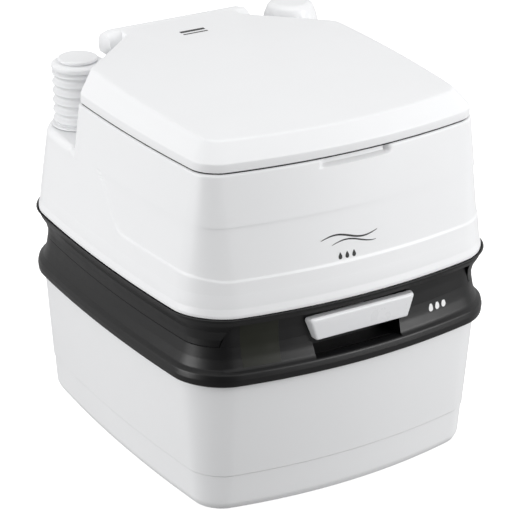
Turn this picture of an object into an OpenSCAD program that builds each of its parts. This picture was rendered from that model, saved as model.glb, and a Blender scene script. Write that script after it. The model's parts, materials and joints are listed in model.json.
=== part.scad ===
// Portable two-piece toilet: a flush-water unit with bowl, seat and lid that lifts off a
// waste-holding tank with a slide valve, a swivelling pour-out spout and an air vent.
// Millimetres. +Z up, -Y is the front, origin on the floor under the middle of the body.

/* [Body] */
// Width over the dark band
overall_w = 383; // [375:1:390]
// Depth over the dark band
overall_d = 427; // [420:1:434]
// Height of the rubber feet under the tank
foot_h = 2; // [1.5:0.5:3]
// Wall of the two tanks
wall = 2.5; // [2:0.5:3]
// Height where the white tank wall ends and the dark deck begins
rim_z = 154; // [152:1:156]
// Height of the joint between the two units
seam_z = 194; // [193:1:195]
// Height where the dark skirt ends and the white upper tank begins
lip_z = 228; // [226:1:230]
// Height of the upper tank's deck, just under the lid's rim
deck_z = 373; // [371:1:375]
// Height of the shelf that carries the pump
shelf_z = 322; // [319:1:323]

/* [Lid and seat] */
// Height of the lid's top at its front edge
lid_front_z = 402; // [400:1:404]
// Height of the lid's top over the hinge
lid_rear_z = 411.5; // [411:0.5:412]
// Height of the hinge axis
hinge_z = 395; // [394:0.5:396]
// Distance of the hinge axis behind the middle
hinge_y = 170; // [169:0.5:171]
// Radius of the hinge pin
pin_r = 4; // [3.5:0.5:4.5]

/* [Pump and cap] */
// Pump axis, left of the middle
pump_x = -132; // [-134:1:-132]
// Pump axis, behind the middle
pump_y = 148; // [148:1:151]
// Outer radius of the bellows
bellows_r = 28.5; // [27:0.5:28.5]
// Height of the pump head's top
pump_top_z = 397; // [394:1:400]
// Filler cap axis, right of the middle
cap_x = 136; // [134:1:137]
// Filler cap axis, behind the middle
cap_y = 150; // [149:1:151]
// Height of the filler cap's top
cap_top_z = 414; // [412:1:416]

/* [Valve and spout] */
// Radius of the way through the valve
valve_r = 46; // [42:1:48]
// Travel of the valve blade
valve_travel = 100; // [95:1:104]
// Radius of the pour-out spout's tube
spout_r = 15; // [14:0.5:15.5]
// Length of the spout from its swivel axis to the cap
spout_len = 100; // [90:1:110]

/* [Hidden] */
$fn = 48;
white = [0.93, 0.93, 0.94];
dark = [0.2, 0.2, 0.21];
grey = [0.55, 0.56, 0.58];
rubber = [0.12, 0.12, 0.12];
half_w = overall_w / 2;
half_d = overall_d / 2;
gap = 0.3;
run = 0.06;
eps = 0.01;

// A plan section: [half width, front y, back y, front corner radius, rear corner radius,
// how far the front bows out, how far each side bows out]
sec_floor = [half_w - 21, -half_d + 21, half_d - 16, 26, 41, 21, 8.5];
sec_wall = [half_w - 7.2, -half_d + 8, half_d - 7.5, 38, 62, 24, 10];
sec_rim = [half_w, -half_d, half_d, 42, 70, 25, 10];
sec_waist = [half_w - 10.5, -half_d + 10.5, half_d - 10.5, 36, 60, 24, 10];
sec_upper = [half_w - 5.2, -half_d + 6.5, half_d - 6.5, 40, 66, 24, 10];
sec_deck = [half_w - 21.5, -half_d + 24.5, half_d - 24.5, 18, 50, 19.3, 8.6];
function mix(a, b, t) = a + (b - a) * t;
function inset(s, k) = [s[0] - k, s[1] + k, s[2] - k, max(6, s[3] - k), max(10, s[4] - k), s[5], s[6]];
function unit(v) = v / norm(v);
sec_lip = inset(sec_rim, 2);

// One rounded corner as an arc of n pieces, then m pieces of straight edge up to the next corner
function corner(a, p, b, n) = let (
    u = unit([a[0] - p[0], a[1] - p[1]]), v = unit([b[0] - p[0], b[1] - p[1]]),
    half = acos(u * v) / 2, c = [p[0], p[1]] + unit(u + v) * p[2] / sin(half),
    t1 = [p[0], p[1]] + u * p[2] / tan(half) - c, t2 = [p[0], p[1]] + v * p[2] / tan(half) - c,
    a1 = atan2(t1[1], t1[0]), turn = atan2(t2[1], t2[0]) - a1,
    sweep = turn > 180 ? turn - 360 : turn < -180 ? turn + 360 : turn)
  [for (i = [0:n]) c + p[2] * [cos(a1 + sweep * i / n), sin(a1 + sweep * i / n)]];
function rounded(verts, n) = let (
    k = len(verts),
    arcs = [for (i = [0:k - 1]) corner(verts[(i + k - 1) % k], verts[i], verts[(i + 1) % k], n)])
  [for (i = [0:k - 1]) each concat(arcs[i],
    [for (j = [1:1:verts[i][3] - 1]) mix(arcs[i][n], arcs[(i + 1) % k][0], j / verts[i][3])])];

// The walls aren't flat: the front and the sides bow outwards
rear_pinch = 22;
function bowed(pts, s) = let (
    hw = s[0] - s[6], y0 = s[1] + s[5], y1 = s[2] - rear_pinch, yc = (y0 + y1) / 2, hy = (y1 - y0) / 2)
  [for (p = pts) let (u = p[0] / hw, v = (p[1] - yc) / hy)
    [p[0] + u * s[6] * (1 - v * v), p[1] - s[5] * (1 - u * u) * max(0, min(1, -v))]];
function body_outline(s) = let (w = s[0] - s[6], f = s[1] + s[5])
  bowed(rounded([[-w, s[2], s[4], 5], [-w, f, s[3], 9], [w, f, s[3], 5], [w, s[2], s[4], 3]], 6), s);

// The lid's plan: full width at the front, slanted shoulders, then a narrow tongue to the hinge
tongue_w = 80;
tongue_y = 153;
shoulder_y = 76;
function lid_outline(k) = let (s = inset(sec_deck, k), w = s[0] - s[6], f = s[1] + s[5],
    t = tongue_w - k * 0.55, y1 = tongue_y - k * 0.24, y2 = shoulder_y + k * 0.2, r = max(10, 22 - k))
  bowed(rounded([[-t, s[2], 8, 2], [-t, y1, 12, 2], [-w, y2, 14, 4], [-w, f, r, 9], [w, f, r, 4],
    [w, y2, 14, 2], [t, y1, 12, 2], [t, s[2], 8, 3]], 4), s);

// A solid through a stack of plan rings, each a list of [x, y, z] points in the same order
function ring(pts, z) = [for (p = pts) [p[0], p[1], z]];
function total(v, i = 0) = i == len(v) ? [0, 0, 0] : v[i] + total(v, i + 1);
function middle(pts) = total(pts) / len(pts);
module loft(rings) {
  n = len(rings[0]);
  top = n * (len(rings) - 1);
  sides = [for (k = [0:len(rings) - 2]) for (i = [0:n - 1])
    let (a = k * n + i, b = k * n + (i + 1) % n) each [[a, a + n, b + n], [a, b + n, b]]];
  caps = [for (i = [0:n - 1]) each [[i, (i + 1) % n, top + n], [top + (i + 1) % n, top + i, top + n + 1]]];
  polyhedron(points = concat([for (r = rings) each r], [middle(rings[0]), middle(rings[len(rings) - 1])]),
    convexity = 6, faces = concat(sides, caps));
}
module body_loft(levels) loft([for (l = levels) ring(body_outline(l[1]), l[0])]);

// ---- waste tank ------------------------------------------------------------------------

tank_z0 = foot_h;
foot_x = 120;
foot_y = 145;
foot_r = 12;
function tank_sec(z) = mix(sec_floor, sec_wall, (z - tank_z0) / (rim_z - tank_z0));
module waste_tank_shell() color(white) difference() {
  body_loft([[tank_z0, inset(tank_sec(0), 4)], [tank_z0 + 6, tank_sec(8)], [43, tank_sec(43)],
    [rim_z, sec_wall]]);
  body_loft([[tank_z0 + wall + 1, inset(tank_sec(0), 9)], [tank_z0 + 10, inset(tank_sec(8), wall)],
    [rim_z + 1, inset(sec_wall, wall)]]);
}

module tank_feet() color(rubber)
  for (x = [-foot_x, foot_x], y = [-foot_y, foot_y]) translate([x, y, 0]) cylinder(r = foot_r, h = foot_h);

// The deck closes the tank. Its edge is a rim, then a slope in to the waist that hands grip.
deck_t = 3;
rim_top_z = rim_z + 13;
panel_top_z = 219;
panel_back_y = -172;
panel_half = 143;
panel_lean = 9;
recess_half = 56;
recess_z0 = 170;
recess_z1 = 215;
recess_y1 = -177;
slot_half = 22;
blade_z = seam_z + 6;
blade_t = 2;
pocket_x0 = -34;
pocket_x1 = 128;
pocket_y0 = 146;
pocket_z0 = 157;
latch_half = 17;
latch_x = -90;
window_x = -112;
window_half = 20;
window_z0 = 176;
window_z1 = 212;
window_back_y = -185;
vent_x = -120;
vent_y = 110;
vent_r = 8;
swivel_x = 100;
swivel_y = 174;
swivel_r = 17;
deck_top = seam_z - gap;
function grip_sec(z) = mix(inset(sec_rim, 2.5), sec_waist, (z - rim_top_z) / (seam_z - rim_top_z));
module deck_outer() body_loft([[rim_z, inset(sec_rim, 1.5)], [rim_z + 2, sec_rim],
  [rim_top_z - 1, inset(sec_rim, 0.5)], [rim_top_z + 2, grip_sec(rim_top_z + 2)],
  [deck_top, grip_sec(deck_top)]]);
module deck_inner() body_loft([[rim_z - 1, inset(sec_wall, wall)], [rim_z + 3, inset(sec_wall, wall)],
  [deck_top - deck_t, inset(grip_sec(deck_top), wall + 1)]]);
module box(x0, x1, y0, y1, z0, z1) translate([x0, y0, z0]) cube([x1 - x0, y1 - y0, z1 - z0]);
// The front panel's face between the skirt's two slanted ends, k smaller all round
module panel_prism(k, y1) translate([0, y1, 0]) rotate([90, 0, 0]) linear_extrude(half_d + 1 + y1)
  polygon([[-panel_half - panel_lean + k, deck_top - 30], [panel_half + panel_lean - k, deck_top - 30],
    [panel_half + panel_lean - k, deck_top], [panel_half - k, panel_top_z - k],
    [-panel_half + k, panel_top_z - k], [-panel_half - panel_lean + k, deck_top]]);
module panel_block(k) intersection() {
  loft([ring(body_outline(inset(sec_rim, 3 + k)), rim_top_z - 2),
    ring(body_outline(inset(sec_rim, 15 + k)), panel_top_z)]);
  panel_prism(k, panel_back_y - k);
}
module recess(k)
  box(-recess_half - k, recess_half + k, -half_d - 1, recess_y1 + k, recess_z0 - k, recess_z1 + k);
module spout_pocket(k)
  box(pocket_x0 - k, pocket_x1 + k, pocket_y0 - k, half_d + 1, pocket_z0 - k, seam_z + 1);
module latch_notch(k) box(latch_x - latch_half - 1 - k, latch_x + latch_half + 1 + k, 186 - k, half_d + 1,
  172 - k, seam_z + 1);
module rod(r, x0, x1, y, z) translate([x0, y, z]) rotate([0, 90, 0]) cylinder(r = r, h = x1 - x0);
module waste_tank_deck() color(dark) difference() {
  union() {
    difference() {
      union() {
        deck_outer();
        panel_block(0);
      }
      difference() {
        union() {
          deck_inner();
          panel_block(wall);
        }
        recess(wall);
        spout_pocket(wall);
        latch_notch(wall);
        box(-slot_half - 3, slot_half + 3, -182, -168, blade_z - 4, blade_z + 6);
      }
    }
    translate([vent_x, vent_y, deck_top - 14]) cylinder(r = vent_r + 3, h = 13);
    for (x = [window_x - 16, window_x + 13])
      box(x, x + 3, float_y - 5, float_y + 5, float_z - 5, deck_top - 1);
  }
  recess(0);
  spout_pocket(0);
  latch_notch(0);
  box(-slot_half, slot_half, -185, -150, blade_z - 1, blade_z + blade_t + 1);
  box(window_x - window_half, window_x + window_half, -half_d, float_y - 6, window_z0, window_z1);
  translate([0, 0, deck_top - 10]) cylinder(r = valve_r, h = 12);
  translate([vent_x, vent_y, deck_top - 10]) cylinder(r = vent_r + 0.5, h = 11);
  translate([vent_x, vent_y, deck_top - 20]) cylinder(r = 3, h = 20);
  translate([swivel_x, swivel_y, pocket_z0 - 5]) cylinder(r = 12, h = 10);
  rod(2, window_x - 18, window_x + 18, float_y, float_z);
  rod(2, latch_x - latch_half - 3.2, latch_x + latch_half + 3.2, latch_y, latch_z);
  for (p = screw_at) translate([p[0], p[1], deck_top - 6]) cylinder(r = 1.5, h = 8);
}

// ---- slide valve ------------------------------------------------------------------------

frame_half = 62;
frame_y1 = 62;
blade_half = 53;
blade_y0 = -54;
frame_y0 = blade_y0 - valve_travel - 10;
cover_z = blade_z + blade_t + 0.15;
cover_t = 5;
screw_at = [for (x = [-57.5, 57.5], y = [-150, -45, 52]) [x, y]];
module valve_base() color(grey) difference() {
  box(-frame_half, frame_half, frame_y0, frame_y1, deck_top, cover_z - eps);
  box(-blade_half - 0.2, blade_half + 0.2, frame_y0 - 1, frame_y1 - 6, blade_z - 0.15, cover_z + 1);
  translate([0, 0, deck_top - 1]) cylinder(r = valve_r, h = 12);
  for (p = screw_at) translate([p[0], p[1], deck_top - 1]) cylinder(r = 1.5, h = 12);
}
module valve_cover() color(grey) difference() {
  box(-frame_half, frame_half, frame_y0, frame_y1, cover_z, cover_z + cover_t);
  translate([0, 0, cover_z - 1]) cylinder(r = valve_r, h = cover_t + 2);
  translate([0, 0, cover_z + cover_t - 1.5]) cylinder(r = valve_r + 6, h = 3);
  for (p = screw_at) translate([p[0], p[1], cover_z - 1]) cylinder(r = 1.5, h = cover_t + 2);
}
module valve_lip_seal() color(rubber) translate([0, 0, cover_z + cover_t - 1.5]) difference() {
  cylinder(r = valve_r + 6, h = 3.4);
  translate([0, 0, -1]) cylinder(r = valve_r - 1.5, h = 6);
}
module valve_screws() color(grey) for (p = screw_at) translate([p[0], p[1], 0]) {
  translate([0, 0, deck_top - 3]) cylinder(r = 1.5, h = cover_z + cover_t - deck_top + 3);
  translate([0, 0, cover_z + cover_t]) cylinder(r = 3, h = 1.8);
}
handle_z0 = 186.5;
handle_z1 = 213.5;
handle_y0 = -208;
handle_y1 = -199;
stem_half = 20;
module valve_blade() color(white) {
  box(-blade_half, blade_half, blade_y0, frame_y1 - 7, blade_z, blade_z + blade_t);
  box(-stem_half, stem_half, handle_y1 - 5, blade_y0 + eps, blade_z, blade_z + blade_t);
}
module valve_handle() color(white) difference() {
  translate([0, handle_y1, 0]) rotate([90, 0, 0]) linear_extrude(handle_y1 - handle_y0)
    polygon([[-58, handle_z0], [58, handle_z0], [64.5, handle_z1], [-64.5, handle_z1]]);
  box(-53, 53, handle_y0 + 3, handle_y1 + 1, handle_z0 - 1, blade_z - 3);
  difference() {
    panel_block(-gap);
    recess(-gap);
  }
  box(-stem_half, stem_half, handle_y1 - 5, handle_y1 + 1, blade_z, blade_z + blade_t);
}

// ---- level gauge ------------------------------------------------------------------------

module level_window() color([0.25, 0.27, 0.2]) intersection() {
  difference() {
    panel_block(0.2);
    panel_block(wall);
  }
  box(window_x - window_half + 0.2, window_x + window_half - 0.2, -half_d, window_back_y,
    window_z0 + 0.2, window_z1 - 0.2);
}
float_y = -166;
float_z = 176;
arm_len = 96;
arm_dip = -50;
flag_len = 23;
flag_lift = 128;
module at_float(angle) translate([window_x, float_y, float_z]) rotate([angle, 0, 0]) children();
module float_pin() color(grey) rod(2, window_x - 16, window_x + 16, float_y, float_z);
module float_arm() color([0.75, 0.15, 0.12]) difference() {
  union() {
    rod(5, window_x - 6, window_x + 6, float_y, float_z);
    at_float(arm_dip) translate([-4, 0, -1.5]) cube([8, arm_len, 3]);
    at_float(flag_lift) translate([-5, 0, -1]) cube([10, flag_len, 2]);
  }
  rod(2 + run, window_x - 20, window_x + 20, float_y, float_z);
}
module level_float() color([0.9, 0.88, 0.8]) at_float(arm_dip)
  translate([-18, arm_len - 34, -2]) difference() {
    cube([36, 34, 28]);
    translate([13.9, -1, 0.4]) cube([8.2, 36, 3.2]);
  }

// ---- pour-out spout ---------------------------------------------------------------------

spout_z = 175.5;
spout_foot_z = pocket_z0 + 1.4;
module pour_spout() color(dark) difference() {
  union() {
    translate([swivel_x, swivel_y, spout_foot_z])
      cylinder(r = swivel_r, h = spout_z + spout_r - spout_foot_z);
    rod(spout_r, swivel_x - spout_len, swivel_x, swivel_y, spout_z);
    translate([swivel_x, swivel_y, pocket_z0 - 4]) cylinder(r = 11.9, h = 6);
  }
  translate([swivel_x, swivel_y, pocket_z0 - 5]) cylinder(r = 9, h = spout_z - pocket_z0 + 5);
  rod(spout_r - 3, swivel_x - spout_len - 1, swivel_x, swivel_y, spout_z);
}
module spout_oring() color(rubber) translate([swivel_x, swivel_y, pocket_z0]) difference() {
  cylinder(r = swivel_r - 0.5, h = 1.2);
  translate([0, 0, -1]) cylinder(r = 12.2, h = 4);
}
module at_spout_end(k)
  translate([swivel_x - spout_len - k, swivel_y, spout_z]) rotate([0, -90, 0]) children();
module spout_cap_seal() color(rubber) at_spout_end(gap) difference() {
  cylinder(r = spout_r, h = 1.4);
  translate([0, 0, -1]) cylinder(r = spout_r - 5, h = 4);
}
module spout_cap() color(grey) at_spout_end(0) difference() {
  translate([0, 0, -12]) cylinder(r = spout_r + 2.4, h = 12 + 5);
  translate([0, 0, -13]) cylinder(r = spout_r + gap, h = 13 + 2);
  for (i = [0:11]) rotate([0, 0, i * 30]) translate([spout_r + 3.4, 0, -13]) cylinder(r = 1.8, h = 20);
}

// ---- air vent ---------------------------------------------------------------------------

module vent_button() color([0.3, 0.55, 0.35]) translate([vent_x, vent_y, 0]) {
  translate([0, 0, deck_top - 2.6]) cylinder(r = vent_r, h = 2.4);
  translate([0, 0, deck_top - 17]) cylinder(r = 2.5, h = 15);
}
module vent_seal() color(rubber) translate([vent_x, vent_y, deck_top - 17]) difference() {
  cylinder(r = 7, h = 2.7);
  translate([0, 0, -1]) cylinder(r = 2.5, h = 5);
}
module vent_spring() color(grey) translate([vent_x, vent_y, deck_top - 10]) difference() {
  cylinder(r = 5.5, h = 7.2);
  translate([0, 0, -1]) cylinder(r = 4.3, h = 10);
}

// ---- latch ------------------------------------------------------------------------------

latch_y = 196;
latch_z = 180;
module tank_latch() color(dark) difference() {
  union() {
    rod(4.5, latch_x - latch_half, latch_x + latch_half, latch_y, latch_z);
    box(latch_x - latch_half, latch_x + latch_half, latch_y - 1, latch_y + 3.5, latch_z, 214);
    box(latch_x - latch_half, latch_x + latch_half, latch_y - 1, latch_y + 9, 196, 200);
  }
  rod(2 + run, latch_x - 30, latch_x + 30, latch_y, latch_z);
}
module latch_pin() color(grey) rod(2, latch_x - latch_half - 3, latch_x + latch_half + 3, latch_y, latch_z);
module latch_spring() color(grey) translate([latch_x - 5, 186, 188]) rotate([-90, 0, 0]) difference() {
  cylinder(r = 3, h = latch_y - 1 - gap - 186);
  translate([0, 0, -1]) cylinder(r = 2.2, h = 9);
}

// ---- flush unit: base skirt, tank and bowl ------------------------------------------------

base_z0 = seam_z;
plate_z0 = 222;
outlet_r = 47;
bowl_y = -27;
module upper_base() color(dark) difference() {
  body_loft([[base_z0, sec_waist], [base_z0 + 2, mix(sec_waist, inset(sec_lip, 1), 0.06)],
    [lip_z - 10, inset(sec_lip, 1)], [lip_z - 8, sec_lip], [lip_z - 1, sec_lip], [lip_z, inset(sec_lip, 1)]]);
  body_loft([[base_z0 - 1, inset(sec_waist, wall)], [base_z0 + 2, inset(sec_waist, wall)],
    [plate_z0, inset(sec_lip, wall + 3)]]);
  body_loft([[plate_z0 + 3, inset(sec_lip, wall + 2)], [lip_z + 1, inset(sec_lip, wall + 2)]]);
  panel_prism(-0.6, -150);
  translate([0, 0, plate_z0 - 5]) cylinder(r = outlet_r + 1, h = 20);
  box(latch_x - latch_half - 1, latch_x + latch_half + 1, 188, half_d + 1, base_z0 - 1, 216);
}

// The pump stands in a notch at the rear left corner
notch = [[-230, 80, 5, 1], [-155, 80, 14, 1], [-92, 141, 12, 1], [-92, 240, 5, 1], [-230, 240, 5, 1]];
module pump_notch(k) translate([0, 0, shelf_z - k]) linear_extrude(100)
  polygon([for (p = rounded(notch, 6)) p + k * [0.7, -0.7]]);
module finger_scoop(k) box(-41 - k, 41 + k, -half_d, -182 + k, deck_z - 8 - k, deck_z + 1);
neck_r = 21;
neck_top_z = 396;
block_half = 30;
nozzle_x = -30;
nozzle_z = 352;
nozzle_r = 6;
function upper_sec(z) = mix(sec_upper, sec_deck, (z - 250) / (deck_z - 250));
module along_x(r, x0, x1) translate([x0, hinge_y, hinge_z]) rotate([0, 90, 0]) cylinder(r = r, h = x1 - x0);
module bowl_loft(levels) loft([for (l = levels)
  [for (i = [0:35]) [l[1] * cos(i * 10), l[3] + l[2] * sin(i * 10), l[0]]]]);
module upper_tank() color(white) difference() {
  union() {
    difference() {
      body_loft([[lip_z, inset(sec_lip, 1)], [lip_z + 4, inset(sec_lip, 1.3)],
        [lip_z + 12, mix(sec_lip, sec_upper, 0.8)], [250, upper_sec(250)],
        [deck_z - 3, upper_sec(deck_z - 3)], [deck_z, inset(sec_deck, 3)]]);
      pump_notch(0);
      difference() {
        body_loft([[lip_z + wall, inset(sec_lip, wall + 1.5)], [250, inset(upper_sec(250), wall)],
          [deck_z - wall, inset(sec_deck, wall + 1)]]);
        pump_notch(wall);
        finger_scoop(wall);
      }
    }
    box(-block_half, block_half, hinge_y - 8, hinge_y + 8, deck_z - 2, hinge_z);
    along_x(12.5, -block_half, block_half);
    translate([cap_x, cap_y, deck_z - wall]) cylinder(r = neck_r + 3, h = neck_top_z - deck_z + wall);
  }
  along_x(pin_r, -block_half - 1, block_half + 1);
  translate([cap_x, cap_y, deck_z - 20]) cylinder(r = neck_r, h = 60);
  bowl_loft([[lip_z - 1, 57, 58, 0], [lip_z + 6, 57, 58, 0], [deck_z - 10, 112, 120, bowl_y],
    [deck_z + 1, 112, 120, bowl_y]]);
  translate([pump_x, pump_y, shelf_z - 10]) cylinder(r = 11, h = 20);
  finger_scoop(0);
}
module bowl() color(white) difference() {
  union() {
    bowl_loft([[lip_z, outlet_r + 3, outlet_r + 3, 0], [lip_z + 12, 56, 57, -2], [290, 84, 92, -14],
      [335, 101, 110, -22], [deck_z - 12, 110, 118, bowl_y], [deck_z + 0.7, 111, 119, bowl_y]]);
    bowl_loft([[deck_z, 122, 130, bowl_y], [deck_z + 1.5, 122, 130, bowl_y]]);
    translate([0, 0, 209.4]) cylinder(r = outlet_r, h = 20);
  }
  bowl_loft([[lip_z + 3, outlet_r - 1.5, outlet_r - 1.5, 0], [lip_z + 12, 53, 54, -2], [290, 81, 89, -14],
    [335, 98, 107, -22], [deck_z - 12, 107, 115, bowl_y], [deck_z + 2, 108, 116, bowl_y]]);
  translate([0, 0, 208]) cylinder(r = outlet_r - 3, h = lip_z + 5 - 208);
  translate([nozzle_x, 70, nozzle_z]) rotate([-90, 0, 0]) cylinder(r = nozzle_r, h = 40);
}
module bowl_gasket() color(rubber) translate([0, 0, plate_z0 + 3]) difference() {
  cylinder(r = outlet_r + 8, h = 2.7);
  translate([0, 0, -1]) cylinder(r = outlet_r, h = 5);
}

// ---- pump and flush line ------------------------------------------------------------------

bellows_z0 = 324;
bellows_z1 = 386;
turns = 6;
module at_pump(z) translate([pump_x, pump_y, z]) children();
module pump_collar() color(white) at_pump(shelf_z) difference() {
  union() {
    cylinder(r = bellows_r - 1, h = bellows_z0 - shelf_z);
    translate([0, 0, -8]) cylinder(r = 11, h = 9);
  }
  translate([0, 0, -9]) cylinder(r = 5, h = 30);
}
function bellows_side(r) = let (pitch = (bellows_z1 - bellows_z0) / turns)
  [for (i = [0:turns - 1]) each [[r - 4, bellows_z0 + i * pitch], [r, bellows_z0 + (i + 0.3) * pitch],
    [r, bellows_z0 + (i + 0.7) * pitch]]];
module pump_bellows() color(white) at_pump(0) rotate_extrude() polygon(concat(
  bellows_side(bellows_r), [[bellows_r - 4, bellows_z1], [bellows_r - 6, bellows_z1]],
  [for (i = [3 * turns - 1:-1:0]) bellows_side(bellows_r - 2)[i]]));
module pump_head() color(white) at_pump(0) rotate_extrude() polygon([
  [0, bellows_z1], [bellows_r - 3, bellows_z1], [bellows_r, bellows_z1 + 2],
  [bellows_r - 2, bellows_z1 + 5], [21, pump_top_z - 4], [20, pump_top_z - 1],
  [19, pump_top_z], [0, pump_top_z]]);
dip_z0 = 246;
module pump_dip_tube() color(grey) at_pump(dip_z0) difference() {
  cylinder(r = 5, h = shelf_z - dip_z0 + 4);
  translate([0, 0, -1]) cylinder(r = 3.5, h = 90);
}
module pump_foot_valve() color(grey) at_pump(dip_z0 - 10) difference() {
  union() {
    cylinder(r = 9, h = 7);
    cylinder(r = 6.5, h = 16);
  }
  translate([0, 0, 10]) cylinder(r = 5, h = 10);
  translate([0, 0, -1]) cylinder(r = 3, h = 20);
}

// A tube along a list of points, with flat ends
function heading(path, i) = let (n = len(path))
  unit(path[min(i + 1, n - 1)] - path[max(i - 1, 0)]);
module tube(path, r, sides) loft([for (i = [0:len(path) - 1])
  let (t = heading(path, i), a = unit(cross(t, [0, 0, 1])), b = cross(a, t))
  [for (k = [0:sides - 1]) path[i] + r * (cos(k * 360 / sides) * a + sin(k * 360 / sides) * b)]]);
function bezier(p, t) = pow(1 - t, 3) * p[0] + 3 * t * pow(1 - t, 2) * p[1] + 3 * t * t * (1 - t) * p[2]
  + pow(t, 3) * p[3];
hose = [[-120, 134, 298], [-95, 112, 308], [-60, 128, 352], [-36, 109, 352]];
module flush_hose() color(rubber) tube([for (i = [0:14]) bezier(hose, i / 14)], 5, 10);
module flush_nozzle() color(white) translate([nozzle_x, 0, nozzle_z]) {
  translate([0, 76, 0]) rotate([-90, 0, 0]) cylinder(r = nozzle_r - run, h = 32);
  translate([0, 70, 0]) rotate([-90, 0, 0]) cylinder(r = 9, h = 6 + eps);
}

// ---- seat and lid -------------------------------------------------------------------------

barrel_r = 16.5;
lid_rim_z = 385;
seat_z0 = 377;
seat_z1 = 392;
seat_knuckles = [[36, 50], [-50, -36]];
lid_knuckles = [[54, 82], [-82, -54]];
lid_bumper_x = [-112, 112];
lid_bumper_y = -125;
lid_boss_z = 396;
seat_bumper_at = [for (x = [-134, 134], y = [-110, 46]) [x, y]];
function lid_top(y) = mix(lid_front_z, lid_rear_z, (y + 160) / (hinge_y + 160));
module lid_loft(levels) loft([for (l = levels) ring(lid_outline(l[1]), l[0])]);
function lid_top_ring(k, drop) = [for (p = lid_outline(k)) [p[0], p[1], lid_top(p[1]) - drop]];
module hinge_pin() color(grey) along_x(pin_r, -84, 84);
module seat() color(white) difference() {
  union() {
    intersection() {
      lid_loft([[seat_z0, 12], [384, 12], [seat_z1, 20]]);
      box(-200, 200, -230, 152, 370, 400);
    }
    for (k = seat_knuckles) {
      along_x(10, k[0], k[1]);
      box(k[0], k[1], 140, hinge_y, 387, hinge_z);
      box(k[0], k[1], 140, 152, seat_z0, hinge_z);
    }
  }
  bowl_loft([[seat_z0 - 1, 104, 112, bowl_y], [seat_z1 - 5, 102, 110, bowl_y],
    [seat_z1 + 1, 108, 116, bowl_y]]);
  difference() {
    intersection() {
      lid_loft([[seat_z0 - 1, 17], [seat_z1 - 4, 22]]);
      box(-200, 200, -230, 137, 370, 400);
    }
    bowl_loft([[seat_z0 - 2, 108, 116, bowl_y], [seat_z1, 106, 114, bowl_y]]);
    for (p = seat_bumper_at) translate([p[0], p[1], seat_z0 - 2]) cylinder(r = 8, h = 20);
  }
  along_x(pin_r + run, -90, 90);
}
module seat_bumpers() color(rubber) for (p = seat_bumper_at)
  translate([p[0], p[1], deck_z + gap]) cylinder(r = 7, h = seat_z0 - deck_z - gap);
module lid() color(white) difference() {
  union() {
    difference() {
      union() {
        loft([ring(lid_outline(0.6), deck_z + 1), ring(lid_outline(0), deck_z + 2),
          ring(lid_outline(0), lid_rim_z), ring(lid_outline(0.8), lid_rim_z + 2),
          lid_top_ring(15, 1), lid_top_ring(20, 0)]);
        along_x(barrel_r, -86, 86);
      }
      loft([ring(lid_outline(4), deck_z), ring(lid_outline(4), lid_rim_z - 1),
        lid_top_ring(17, 4), lid_top_ring(22, 3)]);
      along_x(barrel_r - 3, -83, 83);
    }
    for (x = lid_bumper_x)
      translate([x, lid_bumper_y, lid_boss_z]) cylinder(r = 8, h = lid_front_z - 1 - lid_boss_z);
    for (k = lid_knuckles) {
      along_x(9, k[0], k[1]);
      box(k[0], k[1], hinge_y - 9, hinge_y + 9, hinge_z, lid_rear_z - 4);
    }
  }
  difference() {
    box(-200, 200, hinge_y, 230, 360, 430);
    along_x(barrel_r, -86, 86);
  }
  box(-200, 200, hinge_y - 14, 230, 360, hinge_z - 9.1);
  box(-block_half - 1.5, block_half + 1.5, hinge_y + 8.5, 230, 360, hinge_z + 11);
  along_x(pin_r + run, -84.5, 84.5);
}
module lid_bumpers() color(rubber) for (x = lid_bumper_x)
  translate([x, lid_bumper_y, seat_z1 + gap]) cylinder(r = 6, h = lid_boss_z - seat_z1 - gap);

// ---- filler cap ---------------------------------------------------------------------------

cap_z0 = 380;
cap_flutes = 16;
module at_cap(z) translate([cap_x, cap_y, z]) children();
module fill_cap_seal() color(rubber) at_cap(neck_top_z + gap) difference() {
  cylinder(r = neck_r + 3, h = 2);
  translate([0, 0, -1]) cylinder(r = neck_r - 2, h = 4);
}
module fill_cap() color(white) at_cap(0) difference() {
  rotate_extrude() polygon([[0, cap_z0], [31, cap_z0], [31, 394], [29.5, 400], [25.5, 410], [23.5, 413],
    [21, cap_top_z], [0, cap_top_z]]);
  translate([0, 0, cap_z0 - 10]) cylinder(r = neck_r + 3 + gap, h = neck_top_z + gap + 12 - cap_z0);
  for (i = [0:cap_flutes - 1]) rotate([0, 0, i * 360 / cap_flutes])
    translate([32.6, 0, cap_z0 - 1]) rotate([0, -9, 0]) cylinder(r = 2.6, h = 34);
}

waste_tank_shell();
waste_tank_deck();
tank_feet();
valve_base();
valve_cover();
valve_lip_seal();
valve_screws();
valve_blade();
valve_handle();
level_window();
float_pin();
float_arm();
level_float();
pour_spout();
spout_oring();
spout_cap_seal();
spout_cap();
vent_button();
vent_seal();
vent_spring();
tank_latch();
latch_pin();
latch_spring();
upper_tank();
upper_base();
bowl();
bowl_gasket();
pump_collar();
pump_bellows();
pump_head();
pump_dip_tube();
pump_foot_valve();
flush_hose();
flush_nozzle();
hinge_pin();
seat();
seat_bumpers();
lid();
lid_bumpers();
fill_cap_seal();
fill_cap();
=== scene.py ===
"""Looks of the portable toilet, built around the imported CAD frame.

Lengths below are millimetres, in the frame's own axes (+Z up, -Y the front). mesh() turns them
into metres.
"""
import json
import math
import bpy
import numpy as np
from mathutils import Matrix, Vector
from mathutils.bvhtree import BVHTree


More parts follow.
